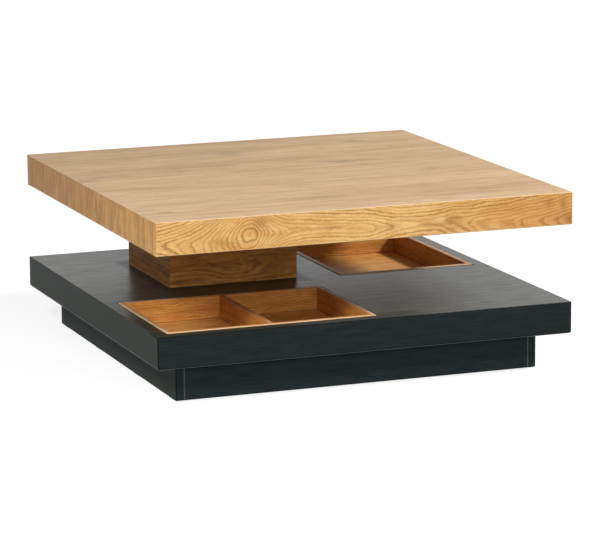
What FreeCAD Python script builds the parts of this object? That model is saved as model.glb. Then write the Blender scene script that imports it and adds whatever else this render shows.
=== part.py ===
import FreeCAD, Part
import os
import re
import Sketcher

# Swivel coffee table: a square hollow-core oak top turns on a roller swivel that sits in an
# off-centre oak neck.  The neck stands on a black slab with two sunk oak trays, and the slab
# stands on a set-back black plinth.  Millimetres, +Z up, origin on the floor under the middle.

doc = FreeCAD.newDocument("swivel_coffee_table")
sizes = doc.addObject("Spreadsheet::Sheet", "Sizes")

# ---------------------------------------------------------------- driving dimensions

DRIVING = [
    # the whole table
    ("table_side", 800),            # top and base slab, both square
    ("table_height", 335),
    ("fit_play", 0.25),             # play of a panel in its groove and of a bolt in its hole
    ("edge_break", 0.8),            # bevel of every outer arris
    # top slab
    ("top_thickness", 60),
    ("top_veneer", 1),
    ("top_skin", 7),
    ("edge_board", 16),             # thickness of the boards round both slabs
    ("swivel_block_side", 240),
    ("core_side", 80),              # one side of a hexagonal paper cell
    ("core_paper", 0.8),
    ("core_glue_line", 0.1),
    # base slab
    ("base_thickness", 60),
    ("base_skin", 8),
    ("base_floor", 12),
    ("base_round", 5),              # radius of the slab's lower arris
    ("rib_thickness", 18),
    # neck
    ("neck_width", 255),
    ("neck_depth", 250),
    ("neck_centre_x", -114),
    ("neck_centre_y", 126),
    ("neck_board", 16),
    ("neck_running_gap", 3),        # the neck boards stop this far below the top
    ("neck_cover", 16),             # thickness of the board that carries the swivel
    ("post_side", 32),
    # trays
    ("tray_margin", 26),            # slab edge to tray
    ("tray_clearance", 2),          # shadow gap round a tray
    ("tray_proud", 1),              # rim above the slab
    ("tray_depth", 43),             # rim to tray floor
    ("tray_wall", 10),
    ("tray_floor", 4),
    ("tray_groove", 4),             # depth of the groove that holds the floor
    ("tray_housing", 3),            # depth of the housing that holds the divider
    ("rim_band", 1),
    ("back_tray_width", 276),
    ("back_tray_depth", 386),
    ("trays_apart_x", 74),          # between the two trays, left to right
    ("trays_apart_y", 82),          # and front to back
    # plinth
    ("plinth_board_height", 69),
    ("plinth_board", 16),
    ("plinth_inset", 49),
    ("plinth_block", 40),
    ("plinth_brace_lift", 12),      # the brace stays clear of the floor
    ("pad_width", 12),
    ("pad_length", 30),
    ("pad_thickness", 2),
    # swivel: two square plates with caged rollers between them and a bolt through the middle
    ("plate_thickness", 3),
    ("upper_plate_margin", 2),      # upper plate past the cage
    ("upper_plate_room", 1),        # gap round the upper plate in the lower skin
    ("lower_plate_margin", 20),     # lower plate past the upper one
    ("plate_screw_inset", 11),      # plate edge to screw, along X and along Y
    ("driver_hole_radius", 5),      # for driving the upper screws through the lower plate
    ("roller_radius", 3),
    ("roller_play", 0.3),           # clear of both plates and of the cage
    ("roller_length", 12),
    ("roller_pitch_radius", 54),
    ("roller_count", 10),
    ("cage_width", 18),
    ("cage_thickness", 3.6),
    ("pivot_radius", 5),
    ("pivot_fit", 0.1),             # running fit in the plates
    ("pivot_hex", 17),              # across flats
    ("pivot_head", 6.4),
    ("pivot_nut", 8),
    ("pivot_end", 2),               # thread past the nut
    ("pivot_washer", 2),
    ("pivot_washer_radius", 12),
    ("pivot_room", 15),             # radius of the clear hole round head and nut
    # screws and bolts
    ("screw_radius", 2),
    ("screw_hex", 7),               # across flats
    ("screw_head", 1.8),
    ("screw_length", 15),
    ("bolt_radius", 4),
    ("bolt_bite", 34),              # length of bolt inside the post
    ("bolt_hex", 13),               # across flats
    ("bolt_head", 5.5),
]

# ---------------------------------------------------------------- worked-out levels and places

DERIVED = [
    ("half_side", "table_side / 2"),
    ("base_bottom", "pad_thickness + plinth_board_height"),
    ("base_top", "base_bottom + base_thickness"),
    ("top_bottom", "table_height - top_thickness"),
    ("shelf_gap", "top_bottom - base_top"),
    ("panel_side", "table_side - 2 * edge_board"),
    ("panel_half", "panel_side / 2"),
    ("top_edge_height", "top_thickness - top_veneer"),
    ("top_core_height", "top_edge_height - 2 * top_skin"),
    ("base_frame_height", "base_thickness - base_skin - base_floor"),
    ("base_frame_bottom", "base_bottom + base_floor"),
    ("upper_plate_side", "2 * roller_pitch_radius + cage_width + 2 * upper_plate_margin"),
    ("lower_plate_side", "upper_plate_side + 2 * lower_plate_margin"),
    ("upper_screw_place", "upper_plate_side / 2 - plate_screw_inset"),
    ("lower_screw_place", "lower_plate_side / 2 - plate_screw_inset"),
    ("roller_gap", "2 * roller_radius + 2 * roller_play"),
    ("upper_plate_level", "top_bottom + top_skin - plate_thickness"),
    ("roller_level", "upper_plate_level - roller_gap / 2"),
    ("lower_plate_level", "upper_plate_level - roller_gap - plate_thickness"),
    ("neck_cover_level", "lower_plate_level - neck_cover"),
    ("neck_inner_width", "neck_width - 2 * neck_board"),
    ("neck_inner_depth", "neck_depth - 2 * neck_board"),
    ("post_x", "neck_inner_width / 2 - post_side / 2"),
    ("post_y", "neck_inner_depth / 2 - post_side / 2"),
    ("screw_bite", "screw_length - plate_thickness"),
    ("tray_height", "base_thickness - base_floor + tray_proud"),
    ("tray_board_height", "tray_height - rim_band"),
    ("tray_groove_level", "tray_height - tray_depth - tray_floor"),
    ("tray_foot", "tray_groove_level + tray_floor"),
    ("back_tray_x", "half_side - tray_margin - back_tray_width"),
    ("back_tray_y", "half_side - tray_margin - back_tray_depth"),
    ("front_tray_x", "-half_side + tray_margin"),
    ("front_tray_y", "-half_side + tray_margin"),
    ("front_tray_width", "back_tray_x - trays_apart_x - front_tray_x"),
    ("front_tray_depth", "back_tray_y - trays_apart_y - front_tray_y"),
    ("front_rib_y", "front_tray_y + front_tray_depth + tray_clearance"),
    ("plinth_side", "table_side - 2 * plinth_inset"),
    ("plinth_half", "plinth_side / 2"),
    ("plinth_inner_half", "plinth_half - plinth_board"),
]

NAMES = [name for name, value in DRIVING + DERIVED]


def bind(text):
    """Expression text with each size's name turned into a reference to its cell."""
    return re.sub(r"[a-z_]+", lambda m: "Sizes." + m[0] if m[0] in NAMES else m[0], str(text))


def value(text):
    """Present value of an expression on the sheet's sizes."""
    return float(sizes.evalExpression(bind(text)))


for row, (name, number) in enumerate(DRIVING, start=1):
    sizes.set("A%d" % row, str(number))
    sizes.setAlias("A%d" % row, name)
for row, (name, formula) in enumerate(DERIVED, start=1):
    sizes.set("B%d" % row, "=" + formula)
    sizes.setAlias("B%d" % row, name)
doc.recompute()

# ---------------------------------------------------------------- building tools

bodies = []
SAME_PLACE = 1e-6                       # mm


def new_body(label, place=(0, 0, 0), turn=0.0, axis=(0, 0, 1)):
    """Empty body, turned about an axis of its own and bound to its place in the table."""
    body = doc.addObject("PartDesign::Body", label)
    body.Label = label
    rotation = FreeCAD.Rotation(FreeCAD.Vector(*axis), turn)
    body.Placement = FreeCAD.Placement(FreeCAD.Vector(0, 0, 0), rotation)
    for letter, text in zip("xyz", place):
        body.setExpression("Placement.Base." + letter, bind(text))
    bodies.append(body)
    return body


def sketch_on(body, role="XY_Plane", lift=0):
    """Sketch on one of the body's origin planes, lifted along the plane's normal."""
    sketch = body.newObject("Sketcher::SketchObject", body.Name + "_sketch")
    plane = next(f for f in body.Origin.OriginFeatures if f.Role == role)
    sketch.AttachmentSupport = [(plane, "")]
    sketch.MapMode = "FlatFace"
    if lift != 0:
        sketch.setExpression("AttachmentOffset.Base.z", bind(lift))
    return sketch


def dimension(sketch, kind, where, text):
    """Dimensional constraint bound to an expression."""
    index = sketch.addConstraint(Sketcher.Constraint(kind, *where, value(text)))
    label = "size_%d" % index
    sketch.renameConstraint(index, label)
    sketch.setExpression("Constraints." + label, bind(text))


def draw_outline(sketch, corners):
    """Closed outline through corners; each corner's X and Y are bound expressions."""
    points = [FreeCAD.Vector(value(x), value(y), 0) for x, y in corners]
    lines = [Part.LineSegment(a, b) for a, b in zip(points, points[1:] + points[:1])]
    first = sketch.GeometryCount
    sketch.addGeometry(lines, False)
    for i, (x, y) in enumerate(corners):
        sketch.addConstraint(Sketcher.Constraint(
            "Coincident", first + i - 1 if i else first + len(corners) - 1, 2, first + i, 1))
        dimension(sketch, "DistanceX", (first + i, 1), x)
        dimension(sketch, "DistanceY", (first + i, 1), y)


def draw_rectangle(sketch, left, front, width, depth):
    right = "(%s) + (%s)" % (left, width)
    back = "(%s) + (%s)" % (front, depth)
    draw_outline(sketch, [(left, front), (right, front), (right, back), (left, back)])


def draw_circle(sketch, x, y, radius):
    centre = FreeCAD.Vector(value(x), value(y), 0)
    index = sketch.addGeometry(Part.Circle(centre, FreeCAD.Vector(0, 0, 1), value(radius)), False)
    dimension(sketch, "DistanceX", (index, 3), x)
    dimension(sketch, "DistanceY", (index, 3), y)
    dimension(sketch, "Radius", (index,), radius)


def pad(body, sketch, length, reverse=False):
    feature = body.newObject("PartDesign::Pad", body.Name + "_pad")
    feature.Profile = sketch
    feature.Reversed = reverse
    feature.setExpression("Length", bind(length))
    doc.recompute()
    return feature


def cut(body, sketch, length=None, side="One side", reverse=False):
    """Pocket of a length, or right through, that must take material away."""
    before = body.Shape.Volume
    feature = body.newObject("PartDesign::Pocket", body.Name + "_pocket")
    feature.Profile = sketch
    feature.Reversed = reverse
    feature.SideType = side
    if length is None:
        feature.Type = "ThroughAll"
    else:
        feature.setExpression("Length", bind(length))
    doc.recompute()
    if body.Shape.Volume >= before:
        raise RuntimeError("nothing cut from " + body.Label)
    return feature


def ring_of(body, features, count):
    """Copies of features evenly round the body's Z axis."""
    pattern = body.newObject("PartDesign::PolarPattern", body.Name + "_ring")
    pattern.Originals = features
    z_axis = next(f for f in body.Origin.OriginFeatures if f.Role == "Z_Axis")
    pattern.Axis = (z_axis, [""])
    pattern.Angle = 360
    pattern.setExpression("Occurrences", bind(count))
    body.Tip = pattern
    doc.recompute()
    return pattern


def four_of(body, features):
    """Copies of features mirrored left to right and front to back."""
    pattern = body.newObject("PartDesign::MultiTransform", body.Name + "_four")
    mirrors = []
    for role in ("YZ_Plane", "XZ_Plane"):
        mirror = body.newObject("PartDesign::Mirrored", body.Name + "_mirror")
        mirror.MirrorPlane = (next(f for f in body.Origin.OriginFeatures if f.Role == role), [""])
        mirrors.append(mirror)
    pattern.Transformations = mirrors
    pattern.Originals = features
    body.Tip = pattern
    doc.recompute()
    return pattern


def board(label, place, size):
    """Plain rectangular board from its low corner."""
    body = new_body(label, place)
    sketch = sketch_on(body)
    draw_rectangle(sketch, 0, 0, size[0], size[1])
    pad(body, sketch, size[2])
    return body


def drill(body, centres, radius, length=None, lift=0, up=True):
    """Round holes along Z at centres given in the body's own frame."""
    sketch = sketch_on(body, lift=lift)
    for x, y in centres:
        draw_circle(sketch, x, y, radius)
    cut(body, sketch, length, reverse=up)


def dress_edges(body, kind, property_name, size, lines):
    """Chamfer or fillet along lines such as "x=0 z=top_veneer" in the body's frame."""
    places = [[(half.split("=")[0], value(half.split("=")[1])) for half in line.split()]
              for line in lines]
    solid = body.Tip
    names = []
    for number, edge in enumerate(solid.Shape.Edges, start=1):
        ends = [{"x": end.X, "y": end.Y, "z": end.Z} for end in edge.Vertexes]
        if any(all(abs(end[axis] - spot) < SAME_PLACE for end in ends for axis, spot in place)
               for place in places):
            names.append("Edge%d" % number)
    feature = body.newObject("PartDesign::" + kind, "%s_%s" % (body.Name, kind.lower()))
    feature.Base = (solid, names)
    feature.setExpression(property_name, bind(size))
    doc.recompute()


def bevel(body, *lines):
    dress_edges(body, "Chamfer", "Size", "edge_break", lines)


def round_over(body, radius, *lines):
    dress_edges(body, "Fillet", "Radius", radius, lines)


SLAB_SIDES = [axis + "=" + end for axis in "xy" for end in ("0", "table_side")]
SLAB_CORNERS = ["%s %s" % (x, y) for x in SLAB_SIDES[:2] for y in SLAB_SIDES[2:]]


def slab_rim(level):
    """The four edges of a table-wide sheet's face at a level."""
    return ["%s z=%s" % (side, level) for side in SLAB_SIDES]


def clip_corners(body):
    """Cuts off a rounded sheet's upright corners, by as much as a bevel would."""
    sketch = sketch_on(body)
    ends = (("0", "edge_break"), ("table_side", "table_side - edge_break"))
    for x, near_x in ends:
        for y, near_y in ends:
            draw_outline(sketch, [(x, y), (near_x, y), (x, near_y)])
    cut(body, sketch, reverse=True)


def mitred_frame(prefix, kind, place, width, depth, thickness, height):
    """Four boards mitred into a frame: front, right, back and left, by their own names."""
    x, y, level = place
    far_x = "(%s) + (%s)" % (x, width)
    far_y = "(%s) + (%s)" % (y, depth)
    frame = {}
    for side, turn, corner, length in (("front", 0, (x, y), width),
                                       ("right", 90, (far_x, y), depth),
                                       ("back", 180, (far_x, far_y), width),
                                       ("left", 270, (x, far_y), depth)):
        body = new_body("%s_%s_%s" % (prefix, side, kind), (corner[0], corner[1], level), turn)
        sketch = sketch_on(body)
        inner = "(%s) - %s" % (length, thickness)
        draw_outline(sketch, [(0, 0), (length, 0), (inner, thickness), (thickness, thickness)])
        pad(body, sketch, height)
        frame[side] = body
    return frame


def four_points(x, y):
    """Expression pairs for a point and its three mirror images."""
    return [("%s * %s" % (across, x), "%s * %s" % (along, y))
            for across in (-1, 1) for along in (-1, 1)]


def around_neck(points, corner):
    """Points about the neck's axis in the frame of a body whose low corner is given."""
    return [("neck_centre_x - (%s) + %s" % (corner[0], x),
             "neck_centre_y - (%s) + %s" % (corner[1], y)) for x, y in points]


def neck_corner(width, depth):
    """Low corner of a rectangle centred on the neck's axis."""
    return "neck_centre_x - (%s) / 2" % width, "neck_centre_y - (%s) / 2" % depth


def draw_hexagon(sketch, x, y, across_flats):
    draw_outline(sketch, [("%s + %s / sqrt(3) * cos(%d deg)" % (x, across_flats, angle),
                           "%s + %s / sqrt(3) * sin(%d deg)" % (y, across_flats, angle))
                          for angle in range(0, 360, 60)])


def hex_fastener(label, place, at, radius, length, across_flats, head, upward):
    """Four like screws or bolts at mirrored places; the heads seat at the body's own zero."""
    body = new_body(label, place)
    sketch = sketch_on(body)
    draw_circle(sketch, at[0], at[1], radius)
    shank = pad(body, sketch, length, reverse=not upward)
    sketch = sketch_on(body)
    draw_hexagon(sketch, at[0], at[1], across_flats)
    cap = pad(body, sketch, head, reverse=upward)
    four_of(body, [shank, cap])


# ---------------------------------------------------------------- top slab


def make_top():
    """Hollow-core top: two skins on a paper core, four edge boards and a veneer over all."""
    veneer = board("top_veneer_sheet", ("-half_side", "-half_side", "table_height - top_veneer"),
                   ("table_side", "table_side", "top_veneer"))
    bevel(veneer, *SLAB_CORNERS, *slab_rim("top_veneer"))

    board("top_upper_skin", ("-panel_half", "-panel_half", "table_height - top_veneer - top_skin"),
          ("panel_side", "panel_side", "top_skin"))
    lower = board("top_lower_skin", ("-panel_half", "-panel_half", "top_bottom"),
                  ("panel_side", "panel_side", "top_skin"))
    window = sketch_on(lower)
    side = "(upper_plate_side + 2 * upper_plate_room)"
    draw_rectangle(window, "neck_centre_x + panel_half - %s / 2" % side,
                   "neck_centre_y + panel_half - %s / 2" % side, side, side)
    cut(lower, window, reverse=True)

    corner = neck_corner("swivel_block_side", "swivel_block_side")
    block = board("top_swivel_block", corner + ("top_bottom + top_skin",),
                  ("swivel_block_side", "swivel_block_side", "top_core_height"))
    drill(block, around_neck([("0", "0")], corner), "pivot_room", "pivot_head + pivot_end")
    drill(block, around_neck(four_points("upper_screw_place", "upper_screw_place"), corner),
          "screw_radius + fit_play / 2", "screw_bite + fit_play")

    through = ("table_side", "edge_board", "top_edge_height")
    between = ("edge_board", "panel_side", "top_edge_height")
    front = board("top_front_edge_board", ("-half_side", "-half_side", "top_bottom"), through)
    bevel(front, "y=0 z=0", "x=0 y=0", "x=table_side y=0")
    back = board("top_back_edge_board", ("-half_side", "panel_half", "top_bottom"), through)
    bevel(back, "y=edge_board z=0", "x=0 y=edge_board", "x=table_side y=edge_board")
    left = board("top_left_edge_board", ("-half_side", "-panel_half", "top_bottom"), between)
    bevel(left, "x=0 z=0")
    right = board("top_right_edge_board", ("panel_half", "-panel_half", "top_bottom"), between)
    bevel(right, "x=edge_board z=0")


# ---------------------------------------------------------------- paper honeycomb


def paper_core(label, room, level, height):
    """Bent strips of paper, glued back to back into six-sided cells and trimmed to a room."""
    side = value("core_side")
    half = value("core_paper") / 2
    pitch = side * 3 ** 0.5 / 2
    rise = pitch - 2 * half - value("core_glue_line")
    lean = half / 3 ** 0.5
    bends = [(0, 0, 1), (side, 0, -1), (1.5 * side, rise, -1), (2.5 * side, rise, 1)]
    reach = value("half_side")
    cells = int(reach / (3 * side)) + 1
    rows = int(reach / pitch) + 1

    def edge(sign):
        """One side of the strip: flat, slope up, flat, slope down, and so on."""
        return [(3 * side * cell + x + sign * shift * lean, y + sign * half)
                for cell in range(-cells, cells + 1) for x, y, shift in bends]

    outline = edge(-1) + edge(1)[::-1]
    strips = []
    for row in range(-rows, rows + 1):
        flip = 1 if row % 2 else -1
        points = [FreeCAD.Vector(x, row * pitch + flip * (y - rise / 2), 0) for x, y in outline]
        face = Part.Face(Part.makePolygon(points + points[:1]))
        strips.append(face.extrude(FreeCAD.Vector(0, 0, value(height))))

    core = doc.addObject("Part::Feature", label)
    core.Label = label
    core.Shape = Part.makeCompound(strips).common(room)
    core.Placement = FreeCAD.Placement(FreeCAD.Vector(0, 0, value(level)), FreeCAD.Rotation())
    bodies.append(core)


def make_top_core():
    side = value("panel_side")
    height = value("top_core_height")
    block = value("swivel_block_side")
    panel = Part.makeBox(side, side, height, FreeCAD.Vector(-side / 2, -side / 2, 0))
    block_corner = FreeCAD.Vector(value("neck_centre_x") - block / 2,
                                  value("neck_centre_y") - block / 2, 0)
    room = panel.cut(Part.makeBox(block, block, height, block_corner))
    paper_core("top_honeycomb_core", room, "top_bottom + top_skin", "top_core_height")


# ---------------------------------------------------------------- swivel


def swivel_plate(label, side, level, screw_place, pivot_hole):
    """Square steel plate with a screw hole in each corner and one for the pivot."""
    corner = neck_corner(side, side)
    body = board(label, corner + (level,), (side, side, "plate_thickness"))
    drill(body, around_neck([("0", "0")], corner), pivot_hole)
    drill(body, around_neck(four_points(screw_place, screw_place), corner),
          "screw_radius + fit_play / 2")
    return body, corner


def make_swivel():
    """Two plates turn on caged rollers; a bolt holds them together on the neck's axis."""
    axis = ("neck_centre_x", "neck_centre_y")
    lower, corner = swivel_plate("swivel_lower_plate", "lower_plate_side", "lower_plate_level",
                                 "lower_screw_place", "pivot_radius + pivot_fit")
    drill(lower, around_neck([("upper_screw_place * sqrt(2)", "0")], corner),
          "driver_hole_radius")
    swivel_plate("swivel_upper_plate", "upper_plate_side", "upper_plate_level",
                 "upper_screw_place", "pivot_radius + pivot_fit")

    rollers = new_body("swivel_rollers", axis + ("roller_level",))
    sketch = sketch_on(rollers, "YZ_Plane", lift="roller_pitch_radius - roller_length / 2")
    draw_circle(sketch, 0, 0, "roller_radius")
    roller = pad(rollers, sketch, "roller_length")
    ring_of(rollers, [roller], "roller_count")

    cage = new_body("swivel_roller_cage", axis + ("roller_level - cage_thickness / 2",))
    sketch = sketch_on(cage)
    draw_circle(sketch, 0, 0, "roller_pitch_radius + cage_width / 2")
    draw_circle(sketch, 0, 0, "roller_pitch_radius - cage_width / 2")
    pad(cage, sketch, "cage_thickness")
    window = sketch_on(cage)
    draw_rectangle(window, "roller_pitch_radius - roller_length / 2 - roller_play",
                   "-roller_radius - roller_play", "roller_length + 2 * roller_play",
                   "2 * roller_radius + 2 * roller_play")
    ring_of(cage, [cut(cage, window, reverse=True)], "roller_count")

    hex_fastener("swivel_lower_screws", axis + ("lower_plate_level + plate_thickness",),
                 ("lower_screw_place", "lower_screw_place"), "screw_radius", "screw_length",
                 "screw_hex", "screw_head", upward=False)
    hex_fastener("swivel_upper_screws", axis + ("upper_plate_level",),
                 ("upper_screw_place", "upper_screw_place"), "screw_radius", "screw_length",
                 "screw_hex", "screw_head", upward=True)
    make_pivot(axis)


def make_pivot(axis):
    """Bolt down through both plates, with a washer and a locking nut inside the neck."""
    seat = "upper_plate_level + plate_thickness"
    washer_level = "lower_plate_level - roller_play - pivot_washer"
    nut_level = washer_level + " - pivot_nut"
    bolt = new_body("swivel_pivot_bolt", axis + (seat,))
    sketch = sketch_on(bolt)
    draw_circle(sketch, 0, 0, "pivot_radius")
    pad(bolt, sketch, "%s - (%s) + pivot_end" % (seat, nut_level), reverse=True)
    sketch = sketch_on(bolt)
    draw_hexagon(sketch, 0, 0, "pivot_hex")
    pad(bolt, sketch, "pivot_head")

    washer = new_body("swivel_pivot_washer", axis + (washer_level,))
    sketch = sketch_on(washer)
    draw_circle(sketch, 0, 0, "pivot_washer_radius")
    draw_circle(sketch, 0, 0, "pivot_radius + pivot_fit")
    pad(washer, sketch, "pivot_washer")

    nut = new_body("swivel_pivot_nut", axis + (nut_level,))
    sketch = sketch_on(nut)
    draw_hexagon(sketch, 0, 0, "pivot_hex")
    draw_circle(sketch, 0, 0, "pivot_radius + pivot_fit")
    pad(nut, sketch, "pivot_nut")


# ---------------------------------------------------------------- neck


def make_neck():
    """Mitred oak box on four posts, closed at the top by the board under the swivel."""
    mitred_frame("neck", "board", neck_corner("neck_width", "neck_depth") + ("base_top",),
                 "neck_width", "neck_depth", "neck_board", "shelf_gap - neck_running_gap")

    corner = neck_corner("neck_inner_width", "neck_inner_depth")
    cover = board("neck_cover_board", corner + ("neck_cover_level",),
                  ("neck_inner_width", "neck_inner_depth", "neck_cover"))
    drill(cover, around_neck([("0", "0")], corner), "pivot_room")
    drill(cover, around_neck([("upper_screw_place * sqrt(2)", "0")], corner),
          "driver_hole_radius")
    drill(cover, around_neck(four_points("lower_screw_place", "lower_screw_place"), corner),
          "screw_radius + fit_play / 2", "screw_bite + fit_play", lift="neck_cover", up=False)

    posts = new_body("neck_corner_posts", ("neck_centre_x", "neck_centre_y", "base_top"))
    sketch = sketch_on(posts)
    draw_rectangle(sketch, "post_x - post_side / 2", "post_y - post_side / 2",
                   "post_side", "post_side")
    post = pad(posts, sketch, "neck_cover_level - base_top")
    sketch = sketch_on(posts)
    draw_circle(sketch, "post_x", "post_y", "bolt_radius + fit_play / 2")
    hole = cut(posts, sketch, "bolt_bite + bolt_radius", reverse=True)
    four_of(posts, [post, hole])

    hex_fastener("neck_bolts", ("neck_centre_x", "neck_centre_y", "base_bottom"),
                 ("post_x", "post_y"), "bolt_radius", "base_thickness + bolt_bite",
                 "bolt_hex", "bolt_head", upward=True)


# ---------------------------------------------------------------- base slab


def make_base():
    """Black hollow slab: floor board, edge boards, ribs round the trays and a pierced skin."""
    low = ("-half_side", "-half_side")
    bolt_points = around_neck(four_points("post_x", "post_y"), low)

    floor = board("base_floor_board", low + ("base_bottom",),
                  ("table_side", "table_side", "base_floor"))
    round_over(floor, "base_round", *slab_rim("0"))
    clip_corners(floor)
    drill(floor, bolt_points, "bolt_radius + fit_play")

    skin = board("base_upper_skin", low + ("base_top - base_skin",),
                 ("table_side", "table_side", "base_skin"))
    bevel(skin, *SLAB_CORNERS, *slab_rim("base_skin"))
    openings = sketch_on(skin)
    for x, y, width, depth in (("front_tray_x", "front_tray_y",
                                "front_tray_width", "front_tray_depth"),
                               ("back_tray_x", "back_tray_y",
                                "back_tray_width", "back_tray_depth")):
        draw_rectangle(openings, "%s + half_side - tray_clearance" % x,
                       "%s + half_side - tray_clearance" % y,
                       "%s + 2 * tray_clearance" % width, "%s + 2 * tray_clearance" % depth)
    cut(skin, openings, reverse=True)
    drill(skin, bolt_points, "bolt_radius + fit_play")

    level = "base_frame_bottom"
    through = ("table_side", "edge_board", "base_frame_height")
    between = ("edge_board", "panel_side", "base_frame_height")
    front = board("base_front_edge_board", ("-half_side", "-half_side", level), through)
    bevel(front, "x=0 y=0", "x=table_side y=0")
    back = board("base_back_edge_board", ("-half_side", "panel_half", level), through)
    bevel(back, "x=0 y=edge_board", "x=table_side y=edge_board")
    board("base_left_edge_board", ("-half_side", "-panel_half", level), between)
    board("base_right_edge_board", ("panel_half", "-panel_half", level), between)
    make_ribs(level)


def make_ribs(level):
    """Ribs that frame both trays and carry the neck's left and right sides."""
    height = "base_frame_height"
    board("front_tray_back_rib", ("-panel_half", "front_rib_y", level),
          ("panel_side", "rib_thickness", height))
    board("front_tray_side_rib", ("front_tray_x + front_tray_width + tray_clearance",
                                  "-panel_half", level),
          ("rib_thickness", "front_rib_y + panel_half", height))

    back_start = "front_rib_y + rib_thickness"
    back_length = "panel_half - (%s)" % back_start
    for label, x in (("back_tray_side_rib", "back_tray_x - tray_clearance - rib_thickness"),
                     ("neck_left_rib", "neck_centre_x - neck_width / 2"),
                     ("neck_right_rib", "neck_centre_x + neck_width / 2 - rib_thickness")):
        board(label, (x, back_start, level), ("rib_thickness", back_length, height))
    board("back_tray_front_rib", ("back_tray_x - tray_clearance",
                                  "back_tray_y - tray_clearance - rib_thickness", level),
          ("panel_half - back_tray_x + tray_clearance", "rib_thickness", height))


# ---------------------------------------------------------------- trays


def make_tray(prefix, x, y, width, depth, divided):
    """Mitred tray with a grooved-in floor and a pale band on its rim."""
    level = "base_frame_bottom"
    walls = mitred_frame(prefix, "wall", (x, y, level), width, depth,
                         "tray_wall", "tray_board_height")
    for side, wall in walls.items():
        groove = sketch_on(wall, "YZ_Plane")
        draw_rectangle(groove, "tray_wall - tray_groove", "tray_groove_level",
                       "tray_groove", "tray_floor")
        cut(wall, groove, side="Symmetric")
        if divided and side in ("front", "back"):
            housing = sketch_on(wall, lift="tray_foot")
            draw_rectangle(housing, "(%s) / 2 - tray_wall / 2" % width,
                           "tray_wall - tray_housing", "tray_wall", "tray_housing")
            cut(wall, housing, reverse=True)

    let_in = "tray_wall - tray_groove + fit_play"
    board(prefix + "_floor", ("%s + %s" % (x, let_in), "%s + %s" % (y, let_in),
                              level + " + tray_groove_level"),
          ("%s - 2 * (%s)" % (width, let_in), "%s - 2 * (%s)" % (depth, let_in), "tray_floor"))

    band = new_body(prefix + "_rim_band", (x, y, level + " + tray_board_height"))
    sketch = sketch_on(band)
    draw_rectangle(sketch, 0, 0, width, depth)
    inner_depth = "%s - 2 * tray_wall" % depth
    if divided:
        cell = "(%s - 3 * tray_wall) / 2" % width
        draw_rectangle(sketch, "tray_wall", "tray_wall", cell, inner_depth)
        draw_rectangle(sketch, "2 * tray_wall + " + cell, "tray_wall", cell, inner_depth)
    else:
        draw_rectangle(sketch, "tray_wall", "tray_wall", "%s - 2 * tray_wall" % width, inner_depth)
    pad(band, sketch, "rim_band")
    bevel(band, "z=rim_band")

    if divided:
        reach = "(tray_wall - tray_housing)"
        board(prefix + "_divider",
              ("%s + %s / 2 - tray_wall / 2" % (x, width), "%s + %s" % (y, reach),
               level + " + tray_foot"),
              ("tray_wall", "%s - 2 * %s" % (depth, reach), "tray_board_height - tray_foot"))


# ---------------------------------------------------------------- plinth


def make_plinth():
    """Set-back frame: side boards run through, front and back boards stand between them."""
    level = "pad_thickness"
    through = ("plinth_board", "plinth_side", "plinth_board_height")
    between = ("2 * plinth_inner_half", "plinth_board", "plinth_board_height")
    upright = ("x=0 y=0", "x=0 y=plinth_side",
               "x=plinth_board y=0", "x=plinth_board y=plinth_side")
    for label, x in (("plinth_left_board", "-plinth_half"),
                     ("plinth_right_board", "plinth_inner_half")):
        bevel(board(label, (x, "-plinth_half", level), through), *upright)
    for label, y, face in (("plinth_front_board", "-plinth_half", "0"),
                           ("plinth_back_board", "plinth_inner_half", "plinth_board")):
        body = board(label, ("-plinth_inner_half", y, level), between)
        bevel(body, "x=0 y=" + face, "x=2*plinth_inner_half y=" + face)

    board("plinth_brace", ("neck_centre_x - plinth_board / 2", "-plinth_inner_half",
                           "pad_thickness + plinth_brace_lift"),
          ("plinth_board", "2 * plinth_inner_half", "plinth_board_height - plinth_brace_lift"))

    blocks = new_body("plinth_corner_blocks", (0, 0, "base_bottom - plinth_block"))
    sketch = sketch_on(blocks)
    near = "plinth_inner_half - plinth_block"
    far = "plinth_inner_half"
    draw_outline(sketch, [(near, far), (far, near), (far, far)])
    four_of(blocks, [pad(blocks, sketch, "plinth_block")])

    pads = new_body("plinth_floor_pads")
    sketch = sketch_on(pads)
    left = "plinth_half - plinth_board / 2 - pad_width / 2"
    draw_rectangle(sketch, left, "plinth_half - plinth_board - pad_length",
                   "pad_width", "pad_length")
    draw_rectangle(sketch, left, "plinth_half / 3 - pad_length / 2", "pad_width", "pad_length")
    four_of(pads, [pad(pads, sketch, "pad_thickness")])


# ---------------------------------------------------------------- build, check and write


def write_parts():
    doc.recompute()
    for item in doc.Objects:
        if "Invalid" in item.State or "Error" in item.State:
            raise RuntimeError("failed feature: " + item.Name)
    for body in bodies:
        if body.Shape.isNull() or not body.Shape.isValid() or body.Shape.Volume <= 0:
            raise RuntimeError("bad shape: " + body.Label)
    os.makedirs("parts", exist_ok=True)
    for body in bodies:
        body.Shape.exportStep("parts/%s.step" % body.Label)
        print("%-28s %2d solids  %10.0f mm3" % (body.Label, len(body.Shape.Solids),
                                               body.Shape.Volume))


make_top()
make_top_core()
make_swivel()
make_neck()
make_base()
make_tray("front_tray", "front_tray_x", "front_tray_y", "front_tray_width",
          "front_tray_depth", divided=True)
make_tray("back_tray", "back_tray_x", "back_tray_y", "back_tray_width",
          "back_tray_depth", divided=False)
make_plinth()
write_parts()
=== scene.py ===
import math

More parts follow.
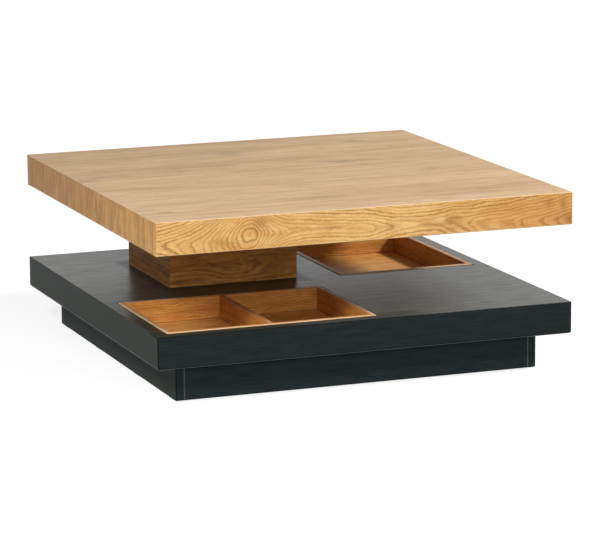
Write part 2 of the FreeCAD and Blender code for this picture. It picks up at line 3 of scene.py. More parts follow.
import bpy
from mathutils import Euler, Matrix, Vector


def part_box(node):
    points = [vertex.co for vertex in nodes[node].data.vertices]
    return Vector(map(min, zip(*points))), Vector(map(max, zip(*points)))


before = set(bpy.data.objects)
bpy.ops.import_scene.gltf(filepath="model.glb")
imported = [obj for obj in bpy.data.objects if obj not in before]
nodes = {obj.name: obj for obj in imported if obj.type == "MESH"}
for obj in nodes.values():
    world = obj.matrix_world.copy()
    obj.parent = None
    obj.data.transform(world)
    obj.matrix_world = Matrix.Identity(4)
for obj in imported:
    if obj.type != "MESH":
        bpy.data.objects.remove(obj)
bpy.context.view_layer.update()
bpy.ops.object.select_all(action="DESELECT")
print("frame loaded:", len(nodes), "nodes")

perMetre = 1000.0                       # the materials count in millimetres
facingLimit = 0.6                       # part of the normal that counts as facing an axis
arrisCore = 0.4                         # part of an arris's width that is worn in full


# a number that comes out of a shader node; arithmetic on it adds Math nodes
class Signal:
    def __init__(self, paint, socket):
        self.paint = paint
        self.socket = socket

    def __add__(self, other):
        return self.paint.maths("ADD", self, other)

    def __radd__(self, other):
        return self.paint.maths("ADD", other, self)

    def __sub__(self, other):
        return self.paint.maths("SUBTRACT", self, other)

    def __rsub__(self, other):
        return self.paint.maths("SUBTRACT", other, self)

    def __mul__(self, other):
        return self.paint.maths("MULTIPLY", self, other)

    def __rmul__(self, other):
        return self.paint.maths("MULTIPLY", other, self)

    def __truediv__(self, other):
        return self.paint.maths("DIVIDE", self, other)

    def __rtruediv__(self, other):
        return self.paint.maths("DIVIDE", other, self)

    def __neg__(self):
        return self.paint.maths("MULTIPLY", self, -1.0)


# a node tree and the recipes that the finishes share
class Paint:
    def __init__(self, tree):
        self.tree = tree

    def feed(self, socket, value):
        if isinstance(value, Signal):
            self.tree.links.new(value.socket, socket)
        elif socket.type == "RGBA":
            socket.default_value = (*value, 1.0)
        else:
            socket.default_value = value

    # any node: its settings first, then the values or links of its sockets
    def add(self, kind, settings=None, sockets=None, output=0):
        node = self.tree.nodes.new(kind)
        for name, value in (settings or {}).items():
            if name == "stops":
                self.setStops(node.color_ramp, value)
            elif name == "curve":
                node.color_ramp.interpolation = value
            else:
                setattr(node, name, value)
        for key, value in (sockets or {}).items():
            self.feed(node.inputs[key], value)
        return Signal(self, node.outputs[output])

    def setStops(self, ramp, stops):
        while len(ramp.elements) < len(stops):
            ramp.elements.new(1.0)
        for element, (place, level) in zip(ramp.elements, stops):
            element.position = place
            element.color = (level, level, level, 1.0)

    def maths(self, operation, *values):
        return self.add("ShaderNodeMath", {"operation": operation}, dict(enumerate(values)))

    # x, y and z of the shaded point in millimetres
    def place(self):
        point = self.add("ShaderNodeTexCoord", output="Object")
        return [self.add("ShaderNodeSeparateXYZ", None, {0: point}, axis) * perMetre
                for axis in range(3)]

    # 1 where the face looks along an axis, 0 elsewhere
    def facing(self, axis):
        normal = self.add("ShaderNodeTexCoord", output="Normal")
        part = self.add("ShaderNodeSeparateXYZ", None, {0: normal}, "XYZ".index(axis))
        return self.maths("GREATER_THAN", self.maths("ABSOLUTE", part), facingLimit)

    # soft noise from 0 to 1, on coordinates already divided by its grain
    def noise(self, x, y, z, detail=2.0, roughness=0.5):
        spot = self.add("ShaderNodeCombineXYZ", None, {0: x, 1: y, 2: z})
        return self.add("ShaderNodeTexNoise", {"noise_dimensions": "3D"},
                        {"Vector": spot, "Scale": 1.0, "Detail": detail, "Roughness": roughness})

    # noise drawn out to a length and a width; its size also gives detail and roughness
    def cloud(self, along, across, seed, size):
        length, width, detail, roughness = size
        return self.noise(along / length, across / width, seed, detail, roughness)

    # a cloud that pulls to either side, as strongly as the last number of its size
    def pull(self, along, across, seed, size):
        *cloudSize, strength = size
        return (self.cloud(along, across, seed, cloudSize) - 0.5) * strength

    def smooth(self, value, low, high):
        return self.add("ShaderNodeMapRange", {"interpolation_type": "SMOOTHSTEP"},
                        {"Value": value, "From Min": low, "From Max": high})

    def ramp(self, value, stops, curve="EASE"):
        return self.add("ShaderNodeValToRGB", {"curve": curve, "stops": stops}, {0: value})

    # a smooth curve through points of place and level, both in their real units
    def curve(self, value, points):
        start, end = points[0][0], points[-1][0]
        least = min(level for place, level in points)
        span = max(level for place, level in points) - least
        stops = [((place - start) / (end - start), (level - least) / span)
                 for place, level in points]
        return self.ramp((value - start) / (end - start), stops, "CARDINAL") * span + least

    # a different constant from 0 to 1 for each whole number
    def random(self, number):
        return self.add("ShaderNodeTexWhiteNoise", {"noise_dimensions": "1D"}, {"W": number})

    def blend(self, factor, first, second):
        return self.add("ShaderNodeMix", {"data_type": "RGBA"},
                        {0: factor, 6: first, 7: second}, 2)

    # 1 at a spot, falling away over its reach along and across
    def bell(self, x, y, centre, reach):
        dx = (x - centre[0]) / reach[0]
        dy = (y - centre[1]) / reach[1]
        return self.maths("EXPONENT", -(dx * dx + dy * dy))

    # the sum of bells given as x, y, reach along x, reach along y and strength
    def bells(self, x, y, spots):
        total = 0.0
        for spotX, spotY, reachX, reachY, strength in spots:
            total = total + self.bell(x, y, (spotX, spotY), (reachX, reachY)) * strength
        return total

    # how far a point lies outside a box along x and along y, negative inside
    def outside(self, x, y, low, high):
        return [self.maths("ABSOLUTE", part - (low[axis] + high[axis]) / 2)
                - (high[axis] - low[axis]) / 2 for axis, part in enumerate((x, y))]

    # 1 on the arrises of a box, where two of its faces meet
    def arris(self, point, low, high, width):
        gaps = []
        for axis in range(3):
            middle = (low[axis] + high[axis]) / 2
            half = (high[axis] - low[axis]) / 2
            gaps.append(half - self.maths("ABSOLUTE", point[axis] - middle))
        small = self.maths("MINIMUM", gaps[0], gaps[1])
        large = self.maths("MAXIMUM", gaps[0], gaps[1])
        second = self.maths("MAXIMUM", small, self.maths("MINIMUM", large, gaps[2]))
        return 1.0 - self.smooth(second, width * arrisCore, width)

    # 1 for the rays that see a background: the camera's, mirrored ones and those through glass
    def shownRay(self):
        camera, glossy, through = [self.add("ShaderNodeLightPath", output="Is %s Ray" % kind)
                                   for kind in ("Camera", "Glossy", "Transmission")]
        return self.maths("MAXIMUM", self.maths("MAXIMUM", camera, glossy), through)


class Finish(Paint):
    def __init__(self, name):
        self.material = bpy.data.materials.new(name)
        self.material.use_nodes = True
        super().__init__(self.material.node_tree)
        self.shader = self.tree.nodes["Principled BSDF"]

    def set(self, name, value):
        self.feed(self.shader.inputs[name], value)

    def complete(self, look, colour, roughness, height):
        self.set("Base Color", colour)
        self.set("Roughness", roughness)
        self.set("Specular IOR Level", look["specular"])
        self.set("Normal", self.add("ShaderNodeBump", None, {
            "Strength": look["bump"], "Distance": look["bumpDepth"], "Height": height}))
        return self.material


# a screen colour from 0 to 255 as the linear colour that a shader takes
def tint(red, green, blue):
    return tuple((part / 255 / 12.92) if part < 10.3 else ((part / 255 + 0.055) / 1.055) ** 2.4
                 for part in (red, green, blue))


def boxOf(*names):
    low = [min(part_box(name)[0][axis] for name in names) * perMetre for axis in range(3)]
    high = [max(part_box(name)[1][axis] for name in names) * perMetre for axis in range(3)]
    return low, high


def paintNodes(material, *names):
    for name in names:
        slots = nodes[name].data.materials
        slots.clear()
        slots.append(material)


def four(pattern):
    return [pattern % side for side in ("front", "back", "left", "right")]


topNames = ["top_veneer_sheet", *four("top_%s_edge_board")]

# oak: growth rings drawn as the contour lines of a smooth field
# the size of a cloud is its length, width, detail and roughness, and a pull has a strength too

oakGrain = {
    "fibreFrom": 0.46, "fibreTo": 0.68, "fibreDetail": 2.0, "fibreRoughness": 0.6,
    "poreFrom": 0.58, "poreTo": 0.72, "poreDetail": 1.0, "toneFrom": 0.3, "toneTo": 0.7,
}


def ringLines(paint, field, look):
    phase = paint.maths("FRACT", field)
    line = paint.ramp(phase, look["profile"])
    ring = paint.random(paint.maths("FLOOR", field))
    return line * (look["ringLeast"] + ring * (1.0 - look["ringLeast"]))


# fine darker fibres that run with the rings
def fibres(paint, field, along, look):
    streaks = paint.noise(along / look["fibreLength"], field * look["fibreCount"], 0.0,
                          oakGrain["fibreDetail"], oakGrain["fibreRoughness"])
    return paint.smooth(streaks, oakGrain["fibreFrom"], oakGrain["fibreTo"])


# short dark dashes along the grain
def pores(paint, along, across, look):
    dashes = paint.noise(along / look["poreLength"], across / look["poreWidth"], 0.0,
                         oakGrain["poreDetail"])
    return paint.smooth(dashes, oakGrain["poreFrom"], oakGrain["poreTo"])


def oakColour(paint, look, lines, threads, dashes, tone):
    warmth = paint.smooth(tone, oakGrain["toneFrom"], oakGrain["toneTo"])
    colour = paint.blend(warmth, look["light"], look["warm"])
    colour = paint.blend(threads * look["fibreDepth"], colour, look["dark"])
    colour = paint.blend(lines * look["lineDepth"], colour, look["dark"])
    return paint.blend(dashes * look["poreDepth"], colour, look["dark"])


# edges of the top

wavyOak = {
    "light": tint(229, 188, 121), "warm": tint(206, 153, 88), "dark": tint(130, 75, 16),
    "pale": tint(240, 206, 150),
    "profile": [(0.0, 0.0), (0.25, 0.06), (0.45, 0.9), (0.55, 1.0), (0.76, 0.3), (1.0, 0.0)],
    "ringWidth": 6.0, "ringLeast": 0.45, "lineDepth": 0.7,
    "poreDepth": 0.35, "poreLength": 9.0, "poreWidth": 0.45,
    "fibreLength": 34.0, "fibreCount": 3.4, "fibreDepth": 0.22,
    "sway": (80.0, 30.0, 2.0, 0.5, 1.5), "ripple": (15.0, 6.0, 1.0, 0.5, 0.6),
    "jitter": (5.0, 2.6, 1.0, 0.5, 0.5),
    "mottle": (60.0, 16.0, 3.0, 0.5), "mottleDepth": 200.0, "mottleShare": 0.6,
    "glowFrom": 0.8, "glowTo": 2.4, "glow": 0.4,        # painted highlight along the lower arris
    "roughness": 0.42, "roughSpread": 0.12, "specular": 0.2,
    "relief": 0.5, "bump": 0.15, "bumpDepth": 0.0003,
}
# all along the edge from its left end, in millimetres and rings
frontFigure = {
    "heart": [(0, 20), (90, 18), (171, 24), (250, 29), (330, 26), (446, 22), (552, 25),
              (600, 19), (680, 14), (800, 12)],                     # height of the figure's middle
    "below": [(0, 13), (90, 15), (130, 10), (171, 6), (250, 6), (430, 7), (560, 9), (680, 15),
              (800, 15)],                                           # ring width under the middle
    "blunt": [(0, 0.8), (60, 1.2), (100, 2.0), (140, 1.8), (171, 3.0), (200, 1.8), (240, 0.9),
              (446, 0.8), (800, 0.9)],                              # how round the tips are
    "rings": [(0, 2.5), (45, 1), (68, 0), (88, -1), (100, -2), (111, -3), (120, -4), (140, -6),
              (155, -7.7), (172, -8.5), (189, -7.7), (207, -5.2), (228, -3.4), (245, -2.5),
              (270, -2), (400, -1.6), (418, -1), (447, 0), (490, 0.6), (535, 0.6), (552, 0),
              (597, -1), (617, -2), (680, -3), (702, -4), (742, -5), (770, -6), (800, -7)],
    "warmth": [(0, 0.4), (200, 0.5), (400, 0.25), (520, 0.35), (640, 0.7), (800, 1.0)],
}
stains = [                              # along, up, reach along, reach up, strength
    (191.0, 48.0, 16.0, 13.0, 0.40),
    (120.0, 16.0, 22.0, 12.0, 0.22),
    (335.0, 29.0, 22.0, 3.5, 0.35),
    (436.0, 23.0, 14.0, 4.0, 0.30),
    (535.0, 20.0, 34.0, 4.0, 0.40),
    (562.0, 28.0, 16.0, 6.0, 0.40),
    (557.0, 9.0, 15.0, 5.0, 0.40),
    (752.0, 42.0, 9.0, 8.0, 0.40),
    (781.0, 40.0, 6.0, 11.0, 0.40),
    (790.0, 14.0, 14.0, 12.0, 0.35),
]
sideOak = {
    "light": tint(232, 174, 94), "warm": tint(192, 134, 66), "dark": tint(116, 70, 28),
    "end": tint(228, 178, 104), "pale": tint(236, 194, 128), "joint": tint(92, 56, 24),
    "paintedBackShade": tint(150, 104, 52),
    "lean": 0.05, "depth": 90.0, "stripes": (22.0, 130.0, 4.0, 0.65),
    "thin": (2.6, 40.0, 2.0, 0.5), "patches": (60.0, 24.0, 3.0, 0.5), "stripeShare": 0.75,
    "toneFrom": 0.36, "toneTo": 0.64,
    "thinFrom": 0.45, "thinTo": 0.75, "thinDepth": 0.55, "paintedBackShadeDepth": 0.4,
    "endFade": 0.6, "endDepth": 0.4, "jointFrom": 0.2, "jointTo": 0.7, "jointDepth": 0.45,
}


# contour lines round an eye and a flame on the front and back edges
def edgeFigure(paint, x, y, z, low, high):
    side = paint.maths("SIGN", y)
    along = high[0] - side * x
    heart, below, blunt, rings, warmth = [
        paint.curve(along, frontFigure[name])
        for name in ("heart", "below", "blunt", "rings", "warmth")]
    rise = z - low[2]
    across = rise - heart
    under = paint.maths("LESS_THAN", across, 0.0)
    width = wavyOak["ringWidth"] + under * (below - wavyOak["ringWidth"])
    away = across / width
    spread = paint.maths("SQRT", away * away + blunt * blunt) - blunt
    seed = side * 5.0                   # the back edge has noise of its own
    sway, ripple, jitter = [paint.pull(along, z, seed, wavyOak[name])
                            for name in ("sway", "ripple", "jitter")]
    field = spread + rings + sway + ripple + jitter + 0.5
    return field, warmth, paint.bells(along, rise, stains)


# upright stripes on the left and right edges, with the ends of the front and back boards and
# painted shade towards the back
def sideColour(paint, x, y, z, low, high):
    look = sideOak
    lean = y + z * look["lean"]
    inward = x / look["depth"]
    stripes = paint.cloud(lean, z, inward, look["stripes"])
    thin = paint.cloud(lean, z, inward, look["thin"])
    patches = paint.cloud(y, z, inward, look["patches"])
    tone = stripes * look["stripeShare"] + patches * (1.0 - look["stripeShare"])
    colour = paint.blend(paint.smooth(tone, look["toneFrom"], look["toneTo"]),
                         look["light"], look["warm"])
    thinLines = paint.smooth(thin, look["thinFrom"], look["thinTo"])
    colour = paint.blend(thinLines * look["thinDepth"], colour, look["dark"])
    # painted shade: the sides grow darker towards the back, where the light falls off
    paintedBackShadeMask = paint.smooth(y, low[1], high[1])
    colour = paint.blend(paintedBackShadeMask * look["paintedBackShadeDepth"], colour, look["paintedBackShade"])
    fromJoint = paint.maths("ABSOLUTE", y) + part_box("top_front_edge_board")[1][1] * perMetre
    end = paint.smooth(fromJoint, 0.0, look["endFade"])
    colour = paint.blend(end * look["endDepth"], colour, look["end"])
    joint = 1.0 - paint.smooth(paint.maths("ABSOLUTE", fromJoint), look["jointFrom"],
                               look["jointTo"])
    return paint.blend(joint * look["jointDepth"], colour, look["joint"])


def makeEdgeOak():
    paint = Finish("wavyEdgeOak")
    look = wavyOak
    x, y, z = paint.place()
    low, high = boxOf(*topNames)
    field, warmth, spots = edgeFigure(paint, x, y, z, low, high)
    lines = ringLines(paint, field, look)
    threads = fibres(paint, field, x, look)
    dashes = pores(paint, x, z, look)
    mottle = paint.cloud(x, z, y / look["mottleDepth"], look["mottle"])
    tone = mottle * look["mottleShare"] + warmth * (1.0 - look["mottleShare"])
    # painted highlight: a pale line along the lower arris, on the front, back and side faces
    glow = (1.0 - paint.smooth(z - low[2], look["glowFrom"], look["glowTo"])) * look["glow"]
    front = oakColour(paint, look, lines, threads, dashes, tone)
    front = paint.blend(spots, paint.blend(glow, front, look["pale"]), look["dark"])
    side = paint.blend(glow, sideColour(paint, x, y, z, low, high), sideOak["pale"])
    colour = paint.blend(paint.facing("X"), front, side)
    rough = look["roughness"] + mottle * look["roughSpread"]
    return paint.complete(look, colour, rough, 1.0 - lines * look["relief"] - dashes)


# face of the top

plainOak = {
    "light": tint(214, 182, 142), "warm": tint(183, 148, 110), "dark": tint(104, 74, 58),
    "pale": tint(224, 194, 150),
    "profile": [(0.0, 0.0), (0.3, 0.2), (0.6, 1.0), (1.0, 0.0)],
    "ringWidth": 9.0, "ringLeast": 0.0, "lineDepth": 0.35,
    "poreDepth": 0.35, "poreLength": 14.0, "poreWidth": 0.8,
    "fibreLength": 70.0, "fibreCount": 5.5, "fibreDepth": 0.25,
    "sway": (420.0, 60.0, 2.0, 0.5, 9.0), "ripple": (130.0, 12.0, 2.0, 0.5, 1.6),
    "bands": (700.0, 90.0, 2.0, 0.5), "mottle": (120.0, 22.0, 3.0, 0.5),
    "streaks": (150.0, 5.0, 3.0, 0.6), "bandShare": 0.5,
    # arris and glow: width and strength of the painted highlight along the top's arrises
    "arris": 2.6, "glow": 0.5, "knotRings": 1.5, "knotDepth": 0.55,
    "roughness": 0.55, "roughSpread": 0.14, "specular": 0.3,
    "relief": 0.3, "bump": 0.12, "bumpDepth": 0.0003,
}
knots = [                               # x, y, reach along, reach across, strength
    (-30.0, 255.0, 34.0, 42.0, 0.55),
    (250.0, 302.0, 18.0, 14.0, 0.7),
    (140.0, 80.0, 26.0, 14.0, 0.9),
    (195.0, 78.0, 42.0, 8.0, 0.5),
    (-350.0, 85.0, 26.0, 8.0, 0.5),
    (-352.0, -310.0, 16.0, 10.0, 0.9),
    (-50.0, -267.0, 80.0, 14.0, 0.5),
    (265.0, -62.0, 14.0, 14.0, 0.55),
    (267.0, -295.0, 22.0, 10.0, 0.4),
    (-300.0, -62.0, 80.0, 12.0, 0.5),
    (-320.0, -238.0, 60.0, 9.0, 0.4),
    (157.0, 245.0, 9.0, 9.0, 0.45),
]


def makeTopOak():
    paint = Finish("plainTopOak")
    look = plainOak
    x, y, z = paint.place()
    low, high = boxOf(*topNames)
    spots = paint.bells(x, y, knots)
    sway = paint.pull(x, y, 0.0, look["sway"])
    ripple = paint.pull(x, y, 0.0, look["ripple"])
    field = y / look["ringWidth"] + sway + ripple + spots * look["knotRings"]
    lines = ringLines(paint, field, look)
    threads = fibres(paint, field, x, look)
    dashes = pores(paint, x, y, look)
    bands = paint.cloud(x, y, 3.0, look["bands"])
    mottle = paint.cloud(x, y, 7.0, look["mottle"])
    streaks = paint.cloud(x, y, 11.0, look["streaks"])
    otherShare = (1.0 - look["bandShare"]) / 2
    tone = bands * look["bandShare"] + mottle * otherShare + streaks * otherShare
    # painted highlight: a pale line along the arrises of the top
    glow = paint.arris((x, y, z), low, high, look["arris"]) * look["glow"]
    colour = oakColour(paint, look, lines, threads, dashes, tone)
    colour = paint.blend(glow, colour, look["pale"])
    colour = paint.blend(spots * look["knotDepth"], colour, look["dark"])
    rough = look["roughness"] + mottle * look["roughSpread"]
    return paint.complete(look, colour, rough, 1.0 - lines * look["relief"] - dashes)


# neck and trays

levelOak = dict(wavyOak, sway=(110.0, 30.0, 2.0, 0.5, 6.0), ripple=(24.0, 7.0, 2.0, 0.5, 1.2),
                tone=(80.0, 16.0, 3.0, 0.5), relief=0.4, bumps=[])
neckOak = dict(levelOak, seed=21.0,
               light=tint(222, 160, 88), warm=tint(196, 134, 68), dark=tint(104, 58, 28),
               profile=[(0.0, 0.0), (0.3, 0.1), (0.55, 1.0), (0.7, 0.5), (1.0, 0.0)],
               ringWidth=17.0, ringLeast=0.3, lineDepth=0.75, fibreDepth=0.3, poreDepth=0.25,
               sway=(210.0, 30.0, 2.0, 0.5, 3.0), roughness=0.45, specular=0.1,
               bumps=[                  # x, height, reach along, reach up, rings
                   (-112.0, 156.0, 60.0, 20.0, 2.6),
                   (-250.0, 178.0, 70.0, 24.0, 1.8),
                   (20.0, 212.0, 80.0, 26.0, 1.6),
               ])
trayOak = dict(levelOak, seed=42.0,
               light=tint(227, 163, 86), warm=tint(205, 137, 66), dark=tint(106, 60, 26),
               ringWidth=4.2, lineDepth=0.55, fibreDepth=0.45, poreDepth=0.6, roughness=0.4,
               specular=0.12)
# tray floors: a lighter copy of the tray oak, painted light for the light that falls on them
trayFloorOakPaintedLight = dict(trayOak, seed=84.0, light=tint(250, 189, 110), warm=tint(234, 165, 86))
rimOak = dict(levelOak, seed=63.0,
              light=tint(216, 190, 152), warm=tint(200, 168, 126), dark=tint(160, 114, 70),
              lineDepth=0.25, fibreDepth=0.2, roughness=0.4)
traySeamAndShade = {"from": 0.8, "to": 2.2, "depth": 0.6}       # dark seam line and painted crease shadow where wall and floor meet
rimInside = {"colour": tint(178, 112, 60), "from": 3.2, "to": 4.6, "depth": 0.8}


# level grain on upright boards and along X or Y on level ones
def makeLevelOak(name, look, foot=None, rim=None):
    paint = Finish(name)
    seed = look["seed"]
    x, y, z = paint.place()
    along = x + paint.facing("X") * (y - x)
    across = z + paint.facing("Z") * (y - z)
    sway = paint.pull(along, across, seed, look["sway"])
    ripple = paint.pull(along, across, seed + 5.0, look["ripple"])
    field = across / look["ringWidth"] + sway + ripple + paint.bells(x, z, look["bumps"])
    lines = ringLines(paint, field, look)
    threads = fibres(paint, field, along, look)
    dashes = pores(paint, along, across, look)
    tone = paint.cloud(along, across, seed + 9.0, look["tone"])
    colour = oakColour(paint, look, lines, threads, dashes, tone)
    if foot is not None:
        # a dark seam with painted crease shadow along the foot of the walls
        seamAndShade = 1.0 - paint.smooth(paint.maths("ABSOLUTE", z - foot), traySeamAndShade["from"],
                                  traySeamAndShade["to"])
        seamAndShade = seamAndShade * (1.0 - paint.facing("Z"))
        colour = paint.blend(seamAndShade * traySeamAndShade["depth"], colour, look["dark"])
    if rim is not None:
        overX, overY = paint.outside(x, y, *boxOf(rim))
        inside = paint.smooth(-paint.maths("MAXIMUM", overX, overY), rimInside["from"],
                              rimInside["to"])
        colour = paint.blend(inside * rimInside["depth"], colour, rimInside["colour"])
    rough = look["roughness"] + tone * look["roughSpread"]
    return paint.complete(look, colour, rough, 1.0 - lines * look["relief"] - dashes)


paintNodes(makeTopOak(), "top_veneer_sheet")
paintNodes(makeEdgeOak(), *four("top_%s_edge_board"))
paintNodes(makeLevelOak("neckOak", neckOak), *four("neck_%s_board"))
trayFinish = makeLevelOak("trayOak", trayOak, foot=boxOf("front_tray_floor")[1][2])
for tray in ("front_tray", "back_tray"):
    paintNodes(trayFinish, *four(tray + "_%s_wall"))
    band = tray + "_rim_band"
    paintNodes(makeLevelOak(band + "_oak", rimOak, rim=band), band)
paintNodes(trayFinish, "front_tray_divider")
paintNodes(makeLevelOak("trayFloorOakPaintedLight", trayFloorOakPaintedLight), "front_tray_floor", "back_tray_floor")
print("oak finished")

# slab and plinth: black open-pored finish

blackOak = {
    "light": tint(42, 48, 49), "dark": tint(31, 36, 37), "paintedArrisShade": tint(10, 11, 12),
    # level and side: painted tints for the sheen and light on faces turned up and sideways
    "level": tint(48, 47, 34), "side": tint(41, 49, 38), "paintedFaceTint": 0.6,
    "grain": (60.0, 1.6, 3.0, 0.6), "broad": (60.0, 13.0, 4.0, 0.7), "wearSize": 15.0,
    "toneFrom": 0.35, "toneTo": 0.7, "arris": 2.0, "paintedArrisShadeDepth": 0.8,
    "roughness": 0.26, "grainRough": 0.1, "wearRough": 0.05, "wornRough": 0.4,
    "specular": 0.02, "topCoat": 0.55, "streaks": 0.9, "coatRoughness": 0.32,
    "bump": 0.12, "bumpDepth": 0.0002,
}
# the plinth: a lighter copy of the slab finish, painted light that lifts it out of the shade under
# the slab
blackPlinthLitCopy = dict(blackOak, light=tint(56, 65, 66), dark=tint(44, 52, 53),
                   side=tint(55, 65, 54), specular=0.008)
# pale joint line: the boards' pale edge and a painted highlight of the chamfers
plinthJointEdgeAndHighlight = {"colour": tint(112, 128, 116), "half": 0.5, "fade": 1.6, "depth": 0.8}
# painted shade taken out of the sheen round the trays, the neck and the front strip
paintedShadeOnSheen = {                              # reach along x and along y, share of the sheen it takes
    "rim": (3.0, 6.0, 0.9), "neck": (24.0, 40.0, 0.6), "frontStrip": (90.0, 24.0, 0.75),
    "from": 0.4, "to": 1.2,             # in reaches from the place
}


# painted shade: how much of the sheen is taken away round the trays, round the neck and along the
# front strip, for the shadow gaps and the shade under the top
def paintedShadeShare(paint, x, y):
    frontRim = boxOf("front_tray_rim_band")
    strip = boxOf("base_upper_skin")[0], (frontRim[1][0], frontRim[0][1])
    places = [(frontRim, "rim"), (boxOf("back_tray_rim_band"), "rim"),
              (boxOf(*four("neck_%s_board")), "neck"), (strip, "frontStrip")]
    share = 0.0
    for box, kind in places:
        reachX, reachY, most = paintedShadeOnSheen[kind]
        overX, overY = paint.outside(x, y, *box)
        away = paint.maths("MAXIMUM", overX / reachX, overY / reachY)
        near = 1.0 - paint.smooth(away, paintedShadeOnSheen["from"], paintedShadeOnSheen["to"])
        share = paint.maths("MAXIMUM", share, near * most)
    return share


def makeBlackOak(name, look, boxed, joint=None):
    paint = Finish(name)
    point = x, y, z = paint.place()
    low, high = boxOf(*boxed)
    level, upright = paint.facing("Z"), paint.facing("X")
    along = x + upright * (z - x)
    across = y + z - upright * z
    grain = paint.cloud(along, across, 0.0, look["grain"])
    broad = paint.cloud(along, across, 4.0, look["broad"])
    wear = paint.noise(*[part / look["wearSize"] for part in point], 3.0)
    tone = paint.smooth(grain * 0.5 + broad * 0.5, look["toneFrom"], look["toneTo"])
    colour = paint.blend(tone, look["dark"], look["light"])
    # painted light: faces turned up and sideways get their own tints, for the hue of the sheen and
    # light on them
    colour = paint.blend(level * look["paintedFaceTint"], colour, look["level"])
    colour = paint.blend(upright * look["paintedFaceTint"], colour, look["side"])
    if joint is not None:               # pale line where the ends of the side boards meet the front board: the boards' pale edge and a painted highlight of the chamfers
        fromJoint = paint.maths("ABSOLUTE", paint.outside(x, y, *boxOf(joint))[0])
        line = 1.0 - paint.smooth(fromJoint, plinthJointEdgeAndHighlight["half"], plinthJointEdgeAndHighlight["fade"])
        colour = paint.blend(line * paint.facing("Y") * plinthJointEdgeAndHighlight["depth"], colour,
                             plinthJointEdgeAndHighlight["colour"])
    # painted shade: a dark line along the arrises for the shading of their rounded corners; the
    # arrises are rougher too
    edge = paint.arris(point, low, high, look["arris"])
    colour = paint.blend(edge * look["paintedArrisShadeDepth"], colour, look["paintedArrisShade"])
    upper = paint.maths("GREATER_THAN", z, (low[2] + high[2]) / 2)
    sheen = look["topCoat"] + (broad - 0.5) * look["streaks"]
    # painted shade: less sheen on the upper faces round the trays, the neck and the front strip
    sheen = sheen * (1.0 - paintedShadeShare(paint, x, y) * upper)
    paint.set("Coat Weight", level * sheen)
    paint.set("Coat Roughness", look["coatRoughness"])
    rough = (look["roughness"] + grain * look["grainRough"] + wear * look["wearRough"]
             + edge * look["wornRough"])
    return paint.complete(look, colour, rough, grain)


slabNames = ["base_floor_board", "base_upper_skin", *four("base_%s_edge_board")]
paintNodes(makeBlackOak("blackSlab", blackOak, slabNames), *slabNames)
plinthNames = four("plinth_%s_board")
paintNodes(makeBlackOak("blackPlinthLitCopy", blackPlinthLitCopy, plinthNames, "plinth_front_board"),
           *plinthNames, "plinth_brace")
print("black finish done")

# hidden and small pieces

speckle = {
    "detail": 4.0, "noiseRoughness": 0.7, "cloudSize": 9.0, "speckShare": 0.7,
    "toneFrom": 0.35, "toneTo": 0.65, "roughSpread": 0.15, "specular": 0.5, "metallic": 0.0,
    "bump": 0.2, "bumpDepth": 0.0003,
}
smallPieces = {
    "particleBoard": {
        "colours": (tint(196, 168, 128), tint(158, 126, 88)), "grain": 1.4, "roughness": 0.8,
        "nodes": ["top_upper_skin", "top_swivel_block", "neck_cover_board",
                  "front_tray_back_rib", "front_tray_side_rib", "back_tray_side_rib",
                  "back_tray_front_rib", "neck_left_rib", "neck_right_rib"]},
    "undersideSheet": {
        "colours": (tint(186, 146, 98), tint(168, 128, 82)), "grain": 3.0, "roughness": 0.55,
        "nodes": ["top_lower_skin"]},
    "kraftPaper": {
        "colours": (tint(176, 140, 96), tint(150, 116, 76)), "grain": 0.8, "roughness": 0.85,
        "nodes": ["top_honeycomb_core"]},
    "beech": {
        "colours": (tint(214, 176, 130), tint(190, 148, 102)), "grain": 2.0, "roughness": 0.6,
        "nodes": ["neck_corner_posts", "plinth_corner_blocks"]},
    "platedSteel": {
        "colours": (tint(206, 208, 212), tint(176, 180, 186)), "grain": 2.5, "roughness": 0.28,
        "metallic": 1.0, "bump": 0.05,
        "nodes": ["swivel_lower_plate", "swivel_upper_plate", "swivel_lower_screws",
                  "swivel_upper_screws", "swivel_pivot_bolt", "swivel_pivot_washer",
                  "swivel_pivot_nut", "neck_bolts"]},
    "rollerSteel": {
        "colours": (tint(222, 224, 228), tint(206, 208, 212)), "grain": 1.5, "roughness": 0.12,
        "metallic": 1.0, "bump": 0.03,
        "nodes": ["swivel_rollers"]},
    "nylon": {
        "colours": (tint(232, 230, 222), tint(214, 211, 202)), "grain": 1.2, "roughness": 0.5,
        "nodes": ["swivel_roller_cage"]},
    "padFelt": {
        "colours": (tint(58, 58, 58), tint(34, 34, 34)), "grain": 0.5, "roughness": 0.95,
        "bump": 0.6,
        "nodes": ["plinth_floor_pads"]},
}


def makeSpeckled(name, piece):
    paint = Finish(name)
    look = dict(speckle, **piece)
    point = paint.place()
    fine, coarse = look["grain"], look["grain"] * look["cloudSize"]
    speck = paint.noise(*[part / fine for part in point], look["detail"],
                        look["noiseRoughness"])
    cloud = paint.noise(*[part / coarse for part in point])
    tone = speck * look["speckShare"] + cloud * (1.0 - look["speckShare"])
    colour = paint.blend(paint.smooth(tone, look["toneFrom"], look["toneTo"]), *look["colours"])
    paint.set("Metallic", look["metallic"])
    return paint.complete(look, colour, look["roughness"] + cloud * look["roughSpread"], speck)


for name, piece in smallPieces.items():
    paintNodes(makeSpeckled(name, piece), *piece["nodes"])
print("hidden pieces finished")

# floor, light and camera

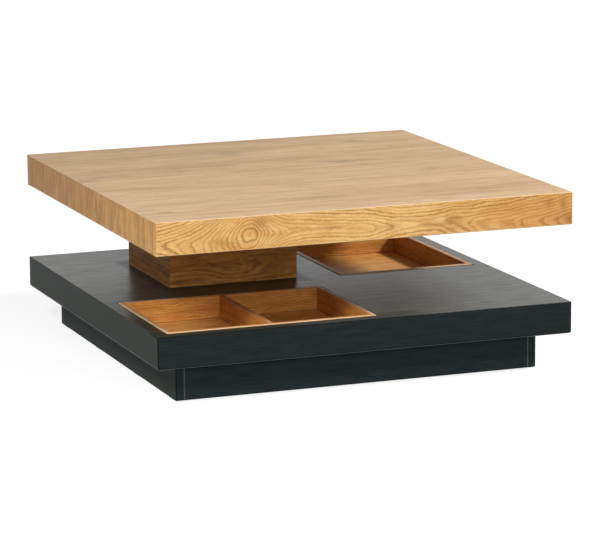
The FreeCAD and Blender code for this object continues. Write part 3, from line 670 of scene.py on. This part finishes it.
studio = {
    "floorReach": 30.0, "floorDrop": 0.0005, "floorTone": 0.35, "floorRoughness": 0.9,
    "nearGlow": 0.80, "farGlow": 0.98, "glowFrom": 500.0, "glowTo": 3000.0,
    "ambient": 0.09, "background": 1.0, "aim": (0.0, 0.0, 0.2),
    "lamps": [                          # name, direction from the table, distance, side, level
        ("keyLamp", (0.66, -0.40, 0.64), 3.4, 0.50, 0.88),
        ("fillLamp", (-0.62, -0.57, 0.54), 3.2, 0.70, 0.61),
        ("frontLamp", (-0.10, -1.00, 0.27), 3.6, 0.90, 0.21),
    ],
}
viewpoint = {"place": (-2.09878, -5.55287, 1.34345), "turn": (78.66295, 0.36270, -20.95643),
             "lens": 190.7557, "sensor": 36.0}


def makeFloor():
    bpy.ops.mesh.primitive_plane_add(size=2 * studio["floorReach"],
                                     location=(0, 0, -studio["floorDrop"]))
    floor = bpy.context.object
    floor.name = "studioFloor"
    bpy.ops.object.transform_apply(location=True, rotation=True, scale=True)
    paint = Finish("paleFloor")
    paint.set("Base Color", (studio["floorTone"],) * 3)
    paint.set("Roughness", studio["floorRoughness"])
    paint.set("Specular IOR Level", 0.0)
    x, y, z = paint.place()
    away = paint.maths("SQRT", x * x + y * y)
    far = paint.smooth(away, studio["glowFrom"], studio["glowTo"])
    glow = studio["nearGlow"] + far * (studio["farGlow"] - studio["nearGlow"])
    paint.set("Emission Color", paint.blend(paint.shownRay() * glow, (0, 0, 0), (1, 1, 1)))
    paint.set("Emission Strength", 1.0)
    floor.data.materials.append(paint.material)


def makeWorld():
    world = bpy.data.worlds.new("studioWorld")
    bpy.context.scene.world = world
    world.use_nodes = True
    paint = Paint(world.node_tree)
    background = paint.tree.nodes["Background"]
    paint.feed(background.inputs["Color"], paint.blend(
        paint.shownRay(), (studio["ambient"],) * 3, (studio["background"],) * 3))
    paint.feed(background.inputs["Strength"], 1.0)


# a level of 1 shows a colour as written on a face turned to the lamp
def makeLamps():
    aim = Vector(studio["aim"])
    for name, direction, distance, side, level in studio["lamps"]:
        light = bpy.data.lights.new(name, "AREA")
        light.shape = "SQUARE"
        light.size = side
        light.energy = level * (math.pi * distance) ** 2
        lamp = bpy.data.objects.new(name, light)
        bpy.context.collection.objects.link(lamp)
        way = Vector(direction).normalized()
        lamp.location = aim + way * distance
        lamp.rotation_euler = way.to_track_quat("Z", "Y").to_euler()


def makeCamera():
    camera = bpy.data.cameras.new("viewCamera")
    camera.sensor_width = viewpoint["sensor"]
    camera.lens = viewpoint["lens"]
    holder = bpy.data.objects.new("viewCamera", camera)
    bpy.context.collection.objects.link(holder)
    holder.location = viewpoint["place"]
    holder.rotation_euler = Euler([math.radians(angle) for angle in viewpoint["turn"]])
    bpy.context.scene.camera = holder


makeFloor()
makeWorld()
makeLamps()
makeCamera()
bpy.context.scene.view_settings.view_transform = "Standard"
print("studio ready")
